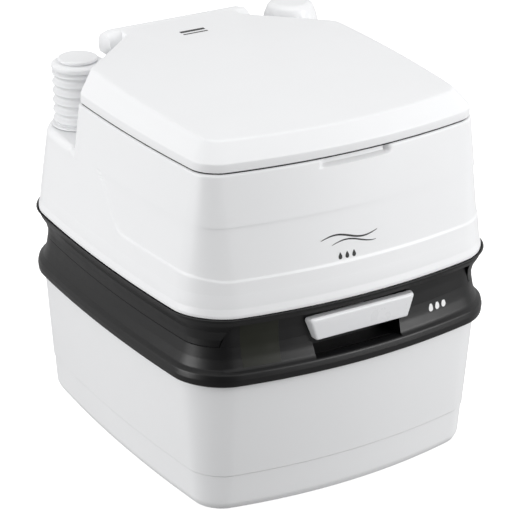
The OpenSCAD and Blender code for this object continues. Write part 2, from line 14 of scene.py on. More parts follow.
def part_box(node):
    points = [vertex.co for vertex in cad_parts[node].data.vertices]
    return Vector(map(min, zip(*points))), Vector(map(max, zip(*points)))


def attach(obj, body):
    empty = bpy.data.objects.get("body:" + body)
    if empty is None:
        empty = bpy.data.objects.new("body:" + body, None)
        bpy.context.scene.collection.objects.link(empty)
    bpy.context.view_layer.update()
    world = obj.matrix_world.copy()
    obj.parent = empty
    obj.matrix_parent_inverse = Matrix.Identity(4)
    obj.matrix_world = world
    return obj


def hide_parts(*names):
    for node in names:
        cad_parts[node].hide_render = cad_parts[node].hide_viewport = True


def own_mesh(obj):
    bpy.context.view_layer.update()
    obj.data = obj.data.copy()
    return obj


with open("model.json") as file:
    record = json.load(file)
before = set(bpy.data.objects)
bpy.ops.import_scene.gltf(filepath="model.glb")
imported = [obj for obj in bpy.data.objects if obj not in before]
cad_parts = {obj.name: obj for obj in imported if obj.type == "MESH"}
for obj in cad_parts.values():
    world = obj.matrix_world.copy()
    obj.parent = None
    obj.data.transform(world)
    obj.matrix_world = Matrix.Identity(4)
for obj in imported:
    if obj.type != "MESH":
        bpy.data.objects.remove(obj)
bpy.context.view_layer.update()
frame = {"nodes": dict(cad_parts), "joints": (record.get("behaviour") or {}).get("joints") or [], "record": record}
MM = 0.001


def span(node):
    """Lowest and highest corner of a CAD node, in millimetres."""
    low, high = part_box(node)
    return np.array(low) / MM, np.array(high) / MM


# ---- driving dimensions, from the frame ----

(_, FRONT, RIM_Z), (HALF_W, BACK, _) = span("waste_tank_deck")
(_, _, SEAM_Z), (_, _, LIP_Z) = span("upper_base")
DECK_Z = span("seat_bumpers")[0][2] - 0.3
TANK_Z = span("waste_tank_shell")[0][2]
PUMP, CAP = (sum(span(node)) / 2 for node in ("pump_head", "fill_cap"))
CAP_TOP = span("fill_cap")[1][2]
joint = {j["name"]: j for j in frame["joints"]}
HINGE_Y, HINGE_Z = (v / MM for v in joint["lid_hinge"]["pos_m"][1:])
SHELF_Z = span("pump_collar")[1][2] - 2

# ---- outlines ----

REAR_PINCH = 22
FINE = 120  # pieces along the front of an outline that is cut or carved


class Section:
    """A plan section: half width, front, back, corner radii, how far front and sides bow out."""

    def __init__(self, w, front, back, rf, rb, bow, side):
        self.v = np.array([w, front, back, rf, rb, bow, side], float)

    def mix(self, other, t):
        return Section(*(self.v + (other.v - self.v) * t))

    def inset(self, k):
        w, front, back, rf, rb, bow, side = self.v
        return Section(w - k, front + k, back - k, max(4, rf - k), max(6, rb - k), bow, side)


FLOOR = Section(HALF_W - 21, FRONT + 21, BACK - 16, 26, 41, 21, 8.5)
WALL = Section(HALF_W - 7.2, FRONT + 8, BACK - 7.5, 38, 62, 24, 10)
RIM = Section(HALF_W, FRONT, BACK, 42, 70, 25, 10)
UPPER = Section(HALF_W - 5.2, FRONT + 6.5, BACK - 6.5, 40, 66, 24, 10)
DECK = Section(HALF_W - 21.5, FRONT + 24.5, BACK - 24.5, 18, 50, 19.3, 8.6)


def corner_at(before, p, after):
    """The two unit directions out of a corner, their lengths, and half the angle between."""
    p = np.array(p[:2], float)
    a, b = (np.array(q[:2], float) - p for q in (before, after))
    la, lb = np.linalg.norm(a), np.linalg.norm(b)
    a, b = a / la, b / lb
    return p, a, b, la, lb, math.acos(np.clip(a @ b, -1, 1)) / 2


def rounded(verts, n_arc=14):
    """A closed path round verts, each (x, y, radius, pieces of the straight edge after it)."""
    arcs = []
    count = len(verts)
    for i in range(count):
        p, a, b, _, _, half = corner_at(verts[i - 1], verts[i], verts[(i + 1) % count])
        r = verts[i][2]
        middle = p + (a + b) / np.linalg.norm(a + b) * r / math.sin(half)
        start = p + a * r / math.tan(half) - middle
        end = p + b * r / math.tan(half) - middle
        a1 = math.atan2(start[1], start[0])
        sweep = (math.atan2(end[1], end[0]) - a1 + math.pi) % (2 * math.pi) - math.pi
        turns = [a1 + sweep * j / n_arc for j in range(n_arc + 1)]
        arcs.append([middle + r * np.array([math.cos(t), math.sin(t)]) for t in turns])
    out = []
    for i in range(count):
        out += arcs[i]
        nxt = arcs[(i + 1) % count][0]
        pieces = verts[i][3]
        out += [arcs[i][-1] + (nxt - arcs[i][-1]) * j / pieces for j in range(1, pieces)]
    return np.array(out)


def bowed(points, section):
    """The points pushed out so that the front and the sides bow."""
    w, front, back, _, _, bow, side = section.v
    y0, y1 = front + bow, back - REAR_PINCH
    u = points[:, 0] / (w - side)
    v = (points[:, 1] - (y0 + y1) / 2) / ((y1 - y0) / 2)
    x = points[:, 0] + u * side * (1 - v * v)
    y = points[:, 1] - bow * (1 - u * u) * np.clip(-v, 0, 1)
    return np.stack([x, y], 1)


def outline(section, front_pieces=60):
    """The body's plan at one section, from the rear left corner down the left side."""
    w, front, back, rf, rb, bow, side = section.v
    w, front = w - side, front + bow
    corners = [(-w, back, rb, 34), (-w, front, rf, front_pieces), (w, front, rf, 34),
               (w, back, rb, 24)]
    return bowed(rounded(corners), section)


TONGUE_W, TONGUE_Y, SHOULDER_Y = 80, 153, 76


def tongued(k, rear, tongue_y, front_r, end, neck_r, n_arc):
    """A plan k inside the deck's: full width in front, slanted shoulders, a narrow tongue.

    end is the radius of the tongue's end corners and the pieces of its sides."""
    s = DECK.inset(k)
    w, front, _, _, _, bow, side = s.v
    w, front = w - side, front + bow
    t, ty, sy = TONGUE_W - k * 0.55, tongue_y - k * 0.24, SHOULDER_Y + k * 0.2
    end_r, pieces = end
    verts = [(-t, rear, end_r, pieces), (-t, ty, neck_r, 14), (-w, sy, 14, 30),
             (-w, front, front_r, 50), (w, front, front_r, 30), (w, sy, 14, 14),
             (t, ty, neck_r, pieces), (t, rear, end_r, 16)]
    return bowed(rounded(verts, n_arc), s)


def lid_outline(k):
    return tongued(k, DECK.v[2] - k, TONGUE_Y, max(10, 22 - k * 0.6), (8, 8), 12, 9)


def seat_outline(k):
    return tongued(k, 152 - k * 0.1, TONGUE_Y - 2.5, max(8, 20 - k), (3, 3), 5, 8)


def resample(path, count, closed=False):
    """count points evenly along a path."""
    p = np.vstack([path, path[:1]]) if closed else np.asarray(path, float)
    d = np.concatenate([[0], np.cumsum(np.linalg.norm(np.diff(p, axis=0), axis=1))])
    t = np.linspace(0, d[-1], count + 1)[:-1] if closed else np.linspace(0, d[-1], count)
    return np.stack([np.interp(t, d, p[:, i]) for i in range(p.shape[1])], 1)


def profile(points, n_arc=5):
    """An open run of (across, up) points, each (a, z, radius), with its corners rounded."""
    out = [np.array(points[0][:2], float)]
    for i in range(1, len(points) - 1):
        p, a, b, la, lb, half = corner_at(*points[i - 1:i + 2])
        if points[i][2] <= 0 or half > 1.55:
            out.append(p)
            continue
        reach = min(points[i][2] / math.tan(half), la * 0.49, lb * 0.49)
        for j in range(n_arc + 1):
            t = j / n_arc
            near, far = p + a * reach, p + b * reach
            out.append((1 - t) ** 2 * near + 2 * t * (1 - t) * p + t * t * far)
    out.append(np.array(points[-1][:2], float))
    return np.array(out)


# ---- meshes ----


def add(name, data):
    """A new object for a mesh, a lamp or a camera, in the scene."""
    ob = bpy.data.objects.new(name, data)
    bpy.context.scene.collection.objects.link(ob)
    return ob


def smooth(me, sharp):
    """Smooth shading, but for the edges sharper than sharp degrees."""
    me.shade_smooth()
    me.set_sharp_from_angle(angle=math.radians(sharp))


def mesh(name, points, faces, sharp=32):
    me = bpy.data.meshes.new(name)
    me.from_pydata([tuple(p * MM) for p in np.asarray(points, float)], [], faces)
    me.validate()
    smooth(me, sharp)
    return add(name, me)


def ring3(points, z):
    """Plan points lifted to a height, or each to its own height."""
    return np.column_stack([points, np.full(len(points), z) if np.isscalar(z) else z])


def oval(a, b, cy, z, t=np.linspace(0, 2 * math.pi, 96, endpoint=False)):
    """A level oval, its middle at cy, with a point at each angle of t."""
    return ring3(np.column_stack([a * np.cos(t), cy + b * np.sin(t)]), z)


def rim_ring(k, z):
    """The rim's outline k inside it at height z, with a finely divided front."""
    return ring3(outline(RIM.inset(k), FINE), z)


def loft(name, rings, closed=False, sharp=32, gap=None):
    """Quads between rings of equal length, in order from the low outside to the high inside.

    Closed rings run in a loop. Others end in a fan at each end, and those with a gap run in a
    loop that is open after ring number gap, with a fan on either side of the opening."""
    n, last = len(rings[0]), len(rings) - 1
    if closed:
        skip, ends = None, ()
    elif gap is None:
        skip, ends = last, ((0, True), (last, False))
    else:
        skip, ends = gap, ((gap, False), (gap + 1, True))
    points = [p for r in rings for p in r]
    faces = []
    for k in range(len(rings)):
        if k != skip:
            a, b = k * n, ((k + 1) % len(rings)) * n
            faces += [(a + i, a + (i + 1) % n, b + (i + 1) % n, b + i) for i in range(n)]
    for ring, flip in ends:
        start, c = ring * n, len(points)
        points.append(np.mean(points[start:start + n], axis=0))
        for i in range(n):
            a, b = start + i, start + (i + 1) % n
            faces.append((b, a, c) if flip else (a, b, c))
    return mesh(name, points, faces, sharp)


def turned(name, points, centre, axis="z", steps=72, closed=False, sharp=32, flute=None):
    """A solid of revolution from (radius, height) points, less flute(angle, height) if given."""
    rings = []
    for r, h in points:
        ring = []
        for i in range(steps):
            a = 2 * math.pi * i / steps
            q = r - (flute(a, h) if flute else 0)
            ring.append((q * math.cos(a), q * math.sin(a), h))
        rings.append(np.array(ring))
    ob = loft(name, rings, closed, sharp)
    turn = {"z": Matrix(), "x": Matrix.Rotation(math.pi / 2, 4, "Y"),
            "-x": Matrix.Rotation(-math.pi / 2, 4, "Y"), "y": Matrix.Rotation(-math.pi / 2, 4, "X")}
    place(ob, centre, turn[axis])
    return ob


def place(ob, centre, turn):
    """Turns a piece made round the origin, and moves it to its centre."""
    ob.data.transform(Matrix.Translation(Vector(centre) * MM) @ turn)
    ob.data.update()


def slab(name, low, high, bevel=0):
    """A box, with rounded edges where bevel is their width."""
    low, high = np.array(low, float), np.array(high, float)
    corners = [[(low, high)[(i >> b) & 1][b] for b in range(3)] for i in range(8)]
    faces = [(0, 2, 3, 1), (4, 5, 7, 6), (0, 1, 5, 4), (2, 6, 7, 3), (0, 4, 6, 2), (1, 3, 7, 5)]
    ob = mesh(name, corners, faces)
    if bevel:
        m = ob.modifiers.new("bevel", "BEVEL")
        m.width = bevel * MM
        m.segments = 3
        m.limit_method = "ANGLE"
        m.angle_limit = math.radians(35)
        apply(ob, 40)
    return ob


def apply(ob, sharp):
    """Turns a piece's modifiers into mesh."""
    depsgraph = bpy.context.evaluated_depsgraph_get()
    me = bpy.data.meshes.new_from_object(ob.evaluated_get(depsgraph))
    ob.modifiers.clear()
    ob.data = me
    smooth(me, sharp)


def boolean(ob, others, operation="DIFFERENCE", sharp=32):
    """Cuts others from ob, or joins them to it, and deletes them."""
    for other in others:
        m = ob.modifiers.new("boolean", "BOOLEAN")
        m.operation = operation
        m.solver = "EXACT"
        m.object = other
        apply(ob, sharp)
        bpy.data.objects.remove(other)
    return ob


def cut_slab(low, high):
    return slab("cut", low, high)


def cut_turned(points, centre, axis="z"):
    return turned("cut", points, centre, axis)


def cut_prism(polygon, y0, y1):
    """A polygon of (x, z) points drawn out along Y."""
    n = len(polygon)
    points = [(x, y, z) for y in (y0, y1) for x, z in polygon]
    faces = [tuple(range(n)), tuple(range(2 * n - 1, n - 1, -1))]
    faces += [(i, i + n, (i + 1) % n + n, (i + 1) % n) for i in range(n)]
    return mesh("cut", points, faces)


def tube(name, path, r, sides):
    """A round tube along a path of 3-D points."""
    side = np.cross(path[1] - path[0], [0, 0, 1.0])
    rings = []
    for i in range(len(path)):
        t = path[min(i + 1, len(path) - 1)] - path[max(i - 1, 0)]
        t = t / np.linalg.norm(t)
        side = side - t * (side @ t)
        side /= np.linalg.norm(side)
        other = np.cross(t, side)
        rings.append(np.array([path[i] + r * (math.cos(a) * side + math.sin(a) * other)
                               for a in np.linspace(0, 2 * math.pi, sides, endpoint=False)]))
    return loft(name, rings, sharp=40)


def keep(ob, body, slot, *nodes, material=None):
    """Puts a piece on its body, in its material, standing for its CAD nodes."""
    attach(ob, body)
    if nodes:
        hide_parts(*nodes)
    paint(ob, material or MATERIAL[slot])
    return ob


def paint(ob, material):
    ob.data.materials.clear()
    ob.data.materials.append(material)


# ---- materials ----


def new_node(nodes, kind, **values):
    """A shader node with its inputs set; an underscore stands for a space in their names."""
    node = nodes.new("ShaderNode" + kind)
    for key, value in values.items():
        node.inputs[key.replace("_", " ")].default_value = value
    return node


def plastic(name, color, rough, spread=0.04, grain=0.0, grain_size=0.6, tint=0.02, sss=0.0,
            wave=0.0, shine=0.5):
    """Moulded plastic: slow colour drift, uneven gloss, and a fine moulded grain as bump."""
    mat = bpy.data.materials.new(name)
    mat.use_nodes = True
    nodes, links = mat.node_tree.nodes, mat.node_tree.links
    shader = nodes["Principled BSDF"]
    coords = nodes.new("ShaderNodeTexCoord")

    def noise(size, detail):
        n = new_node(nodes, "TexNoise", Scale=1 / (size * MM), Detail=detail)
        links.new(coords.outputs["Object"], n.inputs["Vector"])
        return n.outputs["Fac"]

    def bump(size, detail, distance, strength):
        n = new_node(nodes, "Bump", Distance=distance * MM, Strength=strength)
        links.new(noise(size, detail), n.inputs["Height"])
        return n

    mix = nodes.new("ShaderNodeMix")
    mix.data_type = "RGBA"
    mix.inputs[6].default_value = (*[c * (1 - tint) for c in color], 1)
    mix.inputs[7].default_value = (*[min(1, c * (1 + tint)) for c in color], 1)
    links.new(noise(70, 3), mix.inputs[0])
    links.new(mix.outputs[2], shader.inputs["Base Color"])
    gloss = new_node(nodes, "MapRange", From_Min=0.3, From_Max=0.7, To_Min=rough - spread,
                     To_Max=rough + spread)
    links.new(noise(18, 4), gloss.inputs["Value"])
    links.new(gloss.outputs[0], shader.inputs["Roughness"])
    if grain:
        fine = bump(grain_size, 2, 0.1, grain)
        if wave:
            links.new(bump(45, 1, 0.3, wave).outputs["Normal"], fine.inputs["Normal"])
        links.new(fine.outputs["Normal"], shader.inputs["Normal"])
    shader.inputs["Specular IOR Level"].default_value = shine
    if sss:
        shader.inputs["Subsurface Weight"].default_value = sss
        shader.inputs["Subsurface Radius"].default_value = (0.004, 0.004, 0.004)
        shader.inputs["Subsurface Scale"].default_value = 1.0
    return mat


def metal(name, color, rough):
    mat = plastic(name, color, rough, spread=0.08, grain=0.15, grain_size=0.4)
    mat.node_tree.nodes["Principled BSDF"].inputs["Metallic"].default_value = 1.0
    return mat


MATERIAL = {
    "white_shell": plastic("white_polyethylene", (0.80, 0.805, 0.815), 0.34, grain=0.12,
                           grain_size=0.9, tint=0.012, wave=0.05, shine=0.4),
    "white_soft": plastic("white_soft_polyethylene", (0.77, 0.775, 0.785), 0.42, grain=0.1),
    "dark_shell": plastic("dark_polypropylene", (0.005, 0.005, 0.0054), 0.38, grain=0.3,
                          grain_size=0.55, tint=0.12, shine=0.4),
    "handle_white": plastic("handle_plastic", (0.74, 0.745, 0.76), 0.3, grain=0.06, tint=0.015),
    "window": plastic("smoked_window", (0.0105, 0.0115, 0.0065), 0.36, grain=0.03, tint=0.3,
                      shine=0.4),
    "rubber_black": plastic("black_rubber", (0.02, 0.02, 0.02), 0.7, grain=0.4, grain_size=0.4,
                            tint=0.2),
    "valve_grey": plastic("grey_acetal", (0.2, 0.21, 0.225), 0.4, grain=0.15, tint=0.05),
    "steel": metal("stainless_steel", (0.6, 0.6, 0.61), 0.28),
    "float_red": plastic("red_plastic", (0.5, 0.03, 0.02), 0.4, grain=0.1, tint=0.06),
    "foam": plastic("cream_foam", (0.7, 0.66, 0.55), 0.85, grain=0.8, grain_size=1.2, tint=0.1),
    "cap_grey": plastic("grey_cap_plastic", (0.11, 0.115, 0.12), 0.42, grain=0.2, tint=0.08),
    "vent_green": plastic("green_plastic", (0.03, 0.2, 0.05), 0.38, grain=0.1, tint=0.06),
    "tube_clear": plastic("milky_vinyl", (0.5, 0.52, 0.54), 0.3, grain=0.05, tint=0.05, sss=0.2),
}
BLACK_PRINT = plastic("black_print", (0.012, 0.012, 0.012), 0.4, grain=0.05, tint=0.2)
WHITE_PRINT = plastic("white_print", (0.8, 0.8, 0.8), 0.45, grain=0.05, tint=0.05)
for part in frame["record"]["subparts"]:
    paint(frame["nodes"][part["node"]], MATERIAL[part["material_slot"]])

# ---- waste tank ----


def tank_section(z):
    return FLOOR.mix(WALL, (z - TANK_Z) / (RIM_Z - TANK_Z))


LINE_Z, LINE_DEPTH = 46, 0.9  # the moulded line low on the tank, and how far it stands out
TANK_WALL = 2.5


def waste_tank():
    outer = profile([(60, TANK_Z, 0), (12, TANK_Z, 3), (4.5, TANK_Z + 1.5, 5), (LINE_DEPTH, 11, 12),
                     (LINE_DEPTH, LINE_Z - 1, 0.8), (0, LINE_Z + 0.4, 0.8), (0, RIM_Z, 0)], 6)
    extra = [(LINE_DEPTH, z) for z in (20, 30, 38)]
    outer = sorted([tuple(p) for p in outer] + extra, key=lambda p: (p[1], -p[0]))
    inner = [(RIM_Z, TANK_WALL, RIM_Z), (20, TANK_WALL + LINE_DEPTH, 20), (8, 12, TANK_Z + 4)]
    rings = [ring3(outline(tank_section(z).inset(k)), z) for k, z in outer]
    rings += [ring3(outline(tank_section(at).inset(k)), z) for at, k, z in inner]
    return loft("waste_tank_body", rings)


keep(waste_tank(), "waste_section", "white_shell", "waste_tank_shell")

# The dark band: one hollow curve round both units, from the rim's bead in to the waist and out to
# the lip, as (inside the rim, height, radius)
RIM_TOP = RIM_Z + 15
BAND = [(3, RIM_Z, 0), (0.6, RIM_Z + 1.5, 2), (0, RIM_Z + 8, 3), (1.2, RIM_TOP - 1, 3),
        (6, RIM_TOP + 2, 3), (9.5, RIM_TOP + 12, 8), (11.5, SEAM_Z - 1, 6), (11.9, SEAM_Z + 7, 8),
        (9.6, SEAM_Z + 17, 8), (4.8, SEAM_Z + 25.5, 6), (2.8, LIP_Z - 4, 3), (2.2, LIP_Z - 1.2, 1)]
PANEL_TOP, PANEL_PROUD, PANEL_WALL = 219, 0.15, 5
PANEL = BAND[:6] + [(11.7, SEAM_Z - 2, 10), (12.7, SEAM_Z + 12, 12), (12.4, PANEL_TOP + 1, 0)]
END_TOP, END_LOW = 143, 152  # where the front face ends, at its top and at its foot


def panel_k(z):
    """How far the hollow front face stands inside the rim."""
    curve = profile(PANEL, 8)
    return float(np.interp(z, curve[:, 1], curve[:, 0]))


def band_run(z0, z1):
    """The band's curve between two heights."""
    curve = profile(BAND, 6)
    inside = [tuple(p) for p in curve if z0 + 0.2 < p[1] < z1 - 0.2]
    edge = lambda z: (float(np.interp(z, curve[:, 1], curve[:, 0])), z)
    return [edge(z0), *inside, edge(z1)]


RECESS_LOW, RECESS_TOP, RECESS_Y = 169, 215, -177
RECESS_STEP, RECESS_HALF = 185, 59  # it widens behind the grip, above the step


def recess_run(k):
    """The finger recess in the front face, as (x, z) points, k wider all round."""
    wide, step = RECESS_HALF + k, RECESS_STEP + 1.4
    return [(-54.5 - k, RECESS_LOW - k), (48 + k, RECESS_LOW - k), (49 + k, RECESS_STEP),
            (wide, step), (wide, RECESS_TOP + k), (-wide, RECESS_TOP + k), (-wide, step),
            (-56 - k, RECESS_STEP)]


def tank_deck():
    """The lower half of the band, and the deck across the tank between its sides."""
    top = SEAM_Z - 0.3
    rings = [rim_ring(k, z) for k, z in band_run(RIM_Z, top - 0.5) + [(12.2, top)]]
    inside = [(40, top), (40, top - 3), (16, top - 3), (11, RIM_Z + 4), (11, RIM_Z)]
    return loft("waste_tank_cover", rings + [rim_ring(k, z) for k, z in inside], gap=len(rings))


def front_line(k):
    """The front of the rim's outline k inside it, from left to right."""
    path = outline(RIM.inset(k), FINE)
    path = path[path[:, 1] < FRONT + 70]
    return path[np.argsort(path[:, 0])]


def front_strip(k, z, half, count=90):
    """Points along the front between x = -half and half, k inside the rim's outline."""
    path = front_line(k)
    x = np.linspace(-half, half, count)
    return ring3(np.column_stack([x, np.interp(x, path[:, 0], path[:, 1])]), z)


def plate(name, grid, rows):
    """A closed solid from a front grid and a back grid of points, row by row."""
    count = len(grid[0])
    at = lambda layer, r, i: (layer * rows + r) * count + i
    faces = []
    for r in range(rows - 1):
        for i in range(count - 1):
            faces.append((at(0, r, i), at(0, r, i + 1), at(0, r + 1, i + 1), at(0, r + 1, i)))
            faces.append((at(1, r, i), at(1, r + 1, i), at(1, r + 1, i + 1), at(1, r, i + 1)))
        for i, flip in ((0, True), (count - 1, False)):
            q = (at(0, r, i), at(1, r, i), at(1, r + 1, i), at(0, r + 1, i))
            faces.append(q[::-1] if flip else q)
    for r, flip in ((0, False), (rows - 1, True)):
        for i in range(count - 1):
            q = (at(0, r, i), at(1, r, i), at(1, r, i + 1), at(0, r, i + 1))
            faces.append(q[::-1] if flip else q)
    return mesh(name, [p for r in grid for p in r], faces)


def front_panel():
    """The hollow front face that the lower unit carries up between the skirt's slanted ends."""
    front = []
    for z in [*np.linspace(RIM_TOP + 1, PANEL_TOP - 1, 32), PANEL_TOP]:
        half = END_LOW - (END_LOW - END_TOP) * max(0, z - SEAM_Z) / (PANEL_TOP - SEAM_Z)
        edge = 0.8 if z == PANEL_TOP else 0
        front.append(front_strip(panel_k(z) - PANEL_PROUD + edge, z, half - 1.2))
    back = [r + [0, PANEL_WALL, 0] for r in front]
    return plate("front_panel", front + back, len(front))


WINDOW_X, WINDOW_HALF = -111.7, 20.3
WINDOW_LOW, WINDOW_TOP = 172, PANEL_TOP - 2
VALVE_HOLE_R = 46
SPOUT_POCKET = np.array([(-34, 146, 157), (128, 230, 200)])
LATCH_GAP = np.array([(-108, 186, 172), (-72, 230, 200)])
deck = tank_deck()
for low, high in (SPOUT_POCKET, LATCH_GAP):
    boolean(deck, [slab("wall", low - 2.5, (high[0] + 2.5, 203, SEAM_Z - 0.4))], "UNION")
    boolean(deck, [cut_slab(low, high)])
boolean(deck, [cut_prism(recess_run(0), -240, RECESS_Y)])
boolean(deck, [cut_turned([(VALVE_HOLE_R, 180), (VALVE_HOLE_R, 200)], (0, 0, 0)),
               cut_turned([(8.5, 183.7), (8.5, 200)], (-120, 110, 0)),
               cut_turned([(12, 150), (12, 160)], (100, 174, 0))])
keep(deck, "waste_section", "dark_shell", "waste_tank_deck")
liner = [np.array([(x, y, z) for x, z in recess_run(k)])
         for k, y in ((0, RECESS_Y), (0, -197), (2.2, -197), (2.2, RECESS_Y + 2.2))]
keep(loft("grip_recess_wall", liner), "waste_section", "dark_shell")
window_cut = cut_slab((WINDOW_X - 17, -240, WINDOW_LOW + 3), (WINDOW_X + 17, -150, WINDOW_TOP - 3))
panel = boolean(front_panel(), [cut_prism(recess_run(0), -240, RECESS_Y), window_cut])
keep(panel, "waste_section", "dark_shell")

# ---- flush unit ----


def skirt():
    """The upper half of the band, on the flush unit, open in front where the front face stands."""
    outer = band_run(SEAM_Z + 0.3, LIP_Z - 1.2)
    outer = [(outer[0][0] + 0.8, SEAM_Z)] + outer + [(0.5, LIP_Z - 0.2), (1.6, LIP_Z)]
    inner = [(30, LIP_Z), (30, LIP_Z - 5), (8, LIP_Z - 5), (15, SEAM_Z + 12), (15, SEAM_Z)]
    ob = loft("upper_skirt", [rim_ring(k, z) for k, z in outer + inner], closed=True)
    foot = [(END_LOW + 0.2, SEAM_Z - 5), (END_LOW, SEAM_Z), (END_TOP, PANEL_TOP + 0.6)]
    left = [(-x, z) for x, z in foot]
    gate = [left[0], *foot, *left[:0:-1]]
    return boolean(ob, [cut_prism(gate, -250, -150), cut_slab((-108, 188, 190), (-72, 240, 216))])


keep(skirt(), "flush_section", "dark_shell", "upper_base")

CORNER_POINTS = 90
UPPER_STRAIGHT_Z = 250  # the flush tank's walls lean in above this
NOTCH_REAR_X, NOTCH_SIDE_Y = -92, 80


def upper_section(z):
    lean = (max(z, UPPER_STRAIGHT_Z) - UPPER_STRAIGHT_Z) / (DECK_Z - UPPER_STRAIGHT_Z)
    return UPPER.mix(DECK, lean)


def split(section):
    """The outline in two runs: the rear left corner, and the rest round to it again."""
    path = resample(outline(section, FINE), 1600, closed=True)
    x, y = path.T
    inside = (x < -100) & (y > 66) | (x < NOTCH_REAR_X) & (y > 100)
    start = next(i for i in range(len(path)) if inside[i] and not inside[i - 1])
    path = np.roll(path, -start, axis=0)
    count = int(inside.sum())
    return resample(path[:count + 1], CORNER_POINTS), resample(path[count:], 420)


def whole(section, z):
    """The outline as one ring, its corner and its rest put together."""
    corner, rest = split(section)
    return np.vstack([ring3(corner, z), ring3(rest, z)[1:-1]])


def notch_run(corner):
    """The wall of the pump's notch, between the same two ends as the full corner."""
    a, b = corner[0], corner[-1]
    verts = [(NOTCH_REAR_X, a[1], 0), (NOTCH_REAR_X, 141, 12), (-155, NOTCH_SIDE_Y, 20),
             (b[0] - 0.6, NOTCH_SIDE_Y, 12), (b[0], b[1], 0)]
    return resample(profile(verts, 10), CORNER_POINTS)


STEP_FRONT_Z, STEP_RISE, STEP_DEPTH = 266, 58, 1.1


def step_height(x, y):
    """Height of the faint step round the flush tank: low in front, climbing to the pump's shelf."""
    rise = np.clip((y + 40) / 80, 0, 1)
    rise = rise * rise * (3 - 2 * rise)
    return STEP_FRONT_Z + 4 * np.clip((-150 - x) / 30, 0, 1) + (x < -100) * rise * STEP_RISE


BOWL_Y, MOUTH_A, MOUTH_B = -27, 113, 121
UPPER_WALL = 3


def flush_tank():
    """The flush tank, as rings of (inset, height, how far the corner has become the notch)."""
    flange = profile([(-2.2, LIP_Z, 0), (-2.9, LIP_Z + 0.8, 0.6), (-2.8, LIP_Z + 3.5, 2),
                      (-1.3, LIP_Z + 10, 8), (0, LIP_Z + 24, 14), (0, LIP_Z + 30, 0)], 6)
    levels = [(k, z, 0) for k, z in flange]
    levels += [(0, z, 0) for z in [*np.arange(260, 276, 1.0), *np.arange(278, SHELF_Z - 11, 3.0)]]
    levels += [(0, SHELF_Z - 10 + 8 * t, max(t, 1e-6)) for t in np.linspace(0, 1, 26)]
    levels += [(0, z, 1) for z in [*np.arange(SHELF_Z + 2, 358, 4.0),
                                   *np.arange(359, DECK_Z - 2.5, 1.0)]]
    levels += [(2.5 * (1 - math.cos(a)), DECK_Z - 2.5 + 2.5 * math.sin(a), 1)
               for a in np.linspace(0, math.pi / 2, 6)]
    rings = []
    for k, z, t in levels:
        corner, rest = split(upper_section(z).inset(k))
        notch = notch_run(corner)
        if t <= 0:
            run = ring3(corner, z)
        elif t >= 1:
            run = ring3(notch + leftward(notch) * k, z)
        else:
            run = shelf_run(corner, notch, z, t)
        rings.append(carve(np.vstack([run, ring3(rest, z)[1:-1]])))
    edge = rings[-1]
    mouth = oval_at(edge, MOUTH_A, MOUTH_B, DECK_Z)
    down = np.array([0, 0, UPPER_WALL])
    rings += [edge + (mouth - edge) * t for t in (0.3, 0.7, 1.0)]
    # inside, a plain lining so that the wall has a thickness
    rings += [mouth - down, edge + (mouth - edge) * 0.04 - down]
    shelf = upper_section(SHELF_Z - 5).inset(UPPER_WALL)
    corner, rest = split(shelf)
    notch = notch_run(corner)
    notch += leftward(notch) * UPPER_WALL
    rings.append(np.vstack([ring3(notch, SHELF_Z - 4), ring3(rest, SHELF_Z - 4)[1:-1]]))
    low = whole(upper_section(LIP_Z).inset(UPPER_WALL), LIP_Z + UPPER_WALL)
    floor = low * [0.4, 0.4, 1]
    rings += [whole(shelf, SHELF_Z - 5), low, floor, floor - down]
    rings.append(whole(upper_section(LIP_Z).inset(-4), LIP_Z))
    return loft("flush_tank_body", rings, closed=True)


def leftward(run):
    """The unit vector to the left at each point of a run."""
    d = np.gradient(run, axis=0)
    d /= np.linalg.norm(d, axis=1)[:, None]
    return np.column_stack([-d[:, 1], d[:, 0]])


def shelf_run(corner, notch, z_side, t):
    """One ring of the pump's shelf: t runs from the corner's wall over the shelf to the notch's."""
    reaches = np.linalg.norm(notch - corner, axis=1)
    out = np.zeros((len(corner), 3))
    for i, reach in enumerate(reaches):
        q = min(9, reach / 2.3)
        if t < 0.35:
            a = t / 0.35 * math.pi / 2
            across, z = q * (1 - math.cos(a)), SHELF_Z - q + q * math.sin(a)
        elif t < 0.65:
            across, z = q + (reach - 2 * q) * (t - 0.35) / 0.3, SHELF_Z
        else:
            a = (t - 0.65) / 0.35 * math.pi / 2
            across, z = reach - q + q * math.sin(a), SHELF_Z + q * (1 - math.cos(a))
        p = corner[i] + (notch[i] - corner[i]) * (across / max(reach, 1e-6))
        fade = min(1, reach / 12)
        out[i] = (p[0], p[1], z * fade + z_side * (1 - fade))
    return out


def carve(ring):
    """The faint step round the wall and the finger scoop under the lid, pressed into a ring."""
    x, y, z = ring.T
    out = ring[:, :2] - [0, -20]
    out /= np.linalg.norm(out, axis=1)[:, None]
    proud = np.clip((step_height(x, y) - z) / 1.5 + 0.5, 0, 1)
    side = (z > LIP_Z + 22) & (z < SHELF_Z - 2) & ~((x > 100) & (y > 0)) & (y < 100)
    wide = np.clip((41 - np.abs(x)) / 3, 0, 1) * (y < -150)
    depth = np.clip((z - (DECK_Z - 9)) / 3, 0, 1)
    push = STEP_DEPTH * (proud - 1) * side - 5.5 * wide * depth
    moved = ring.copy()
    moved[:, :2] += out * push[:, None]
    return moved


def oval_at(ring, a, b, z):
    """Points of the bowl's mouth in step with a ring's points."""
    return oval(a, b, BOWL_Y, z, np.arctan2(ring[:, 1] - BOWL_Y, ring[:, 0]))


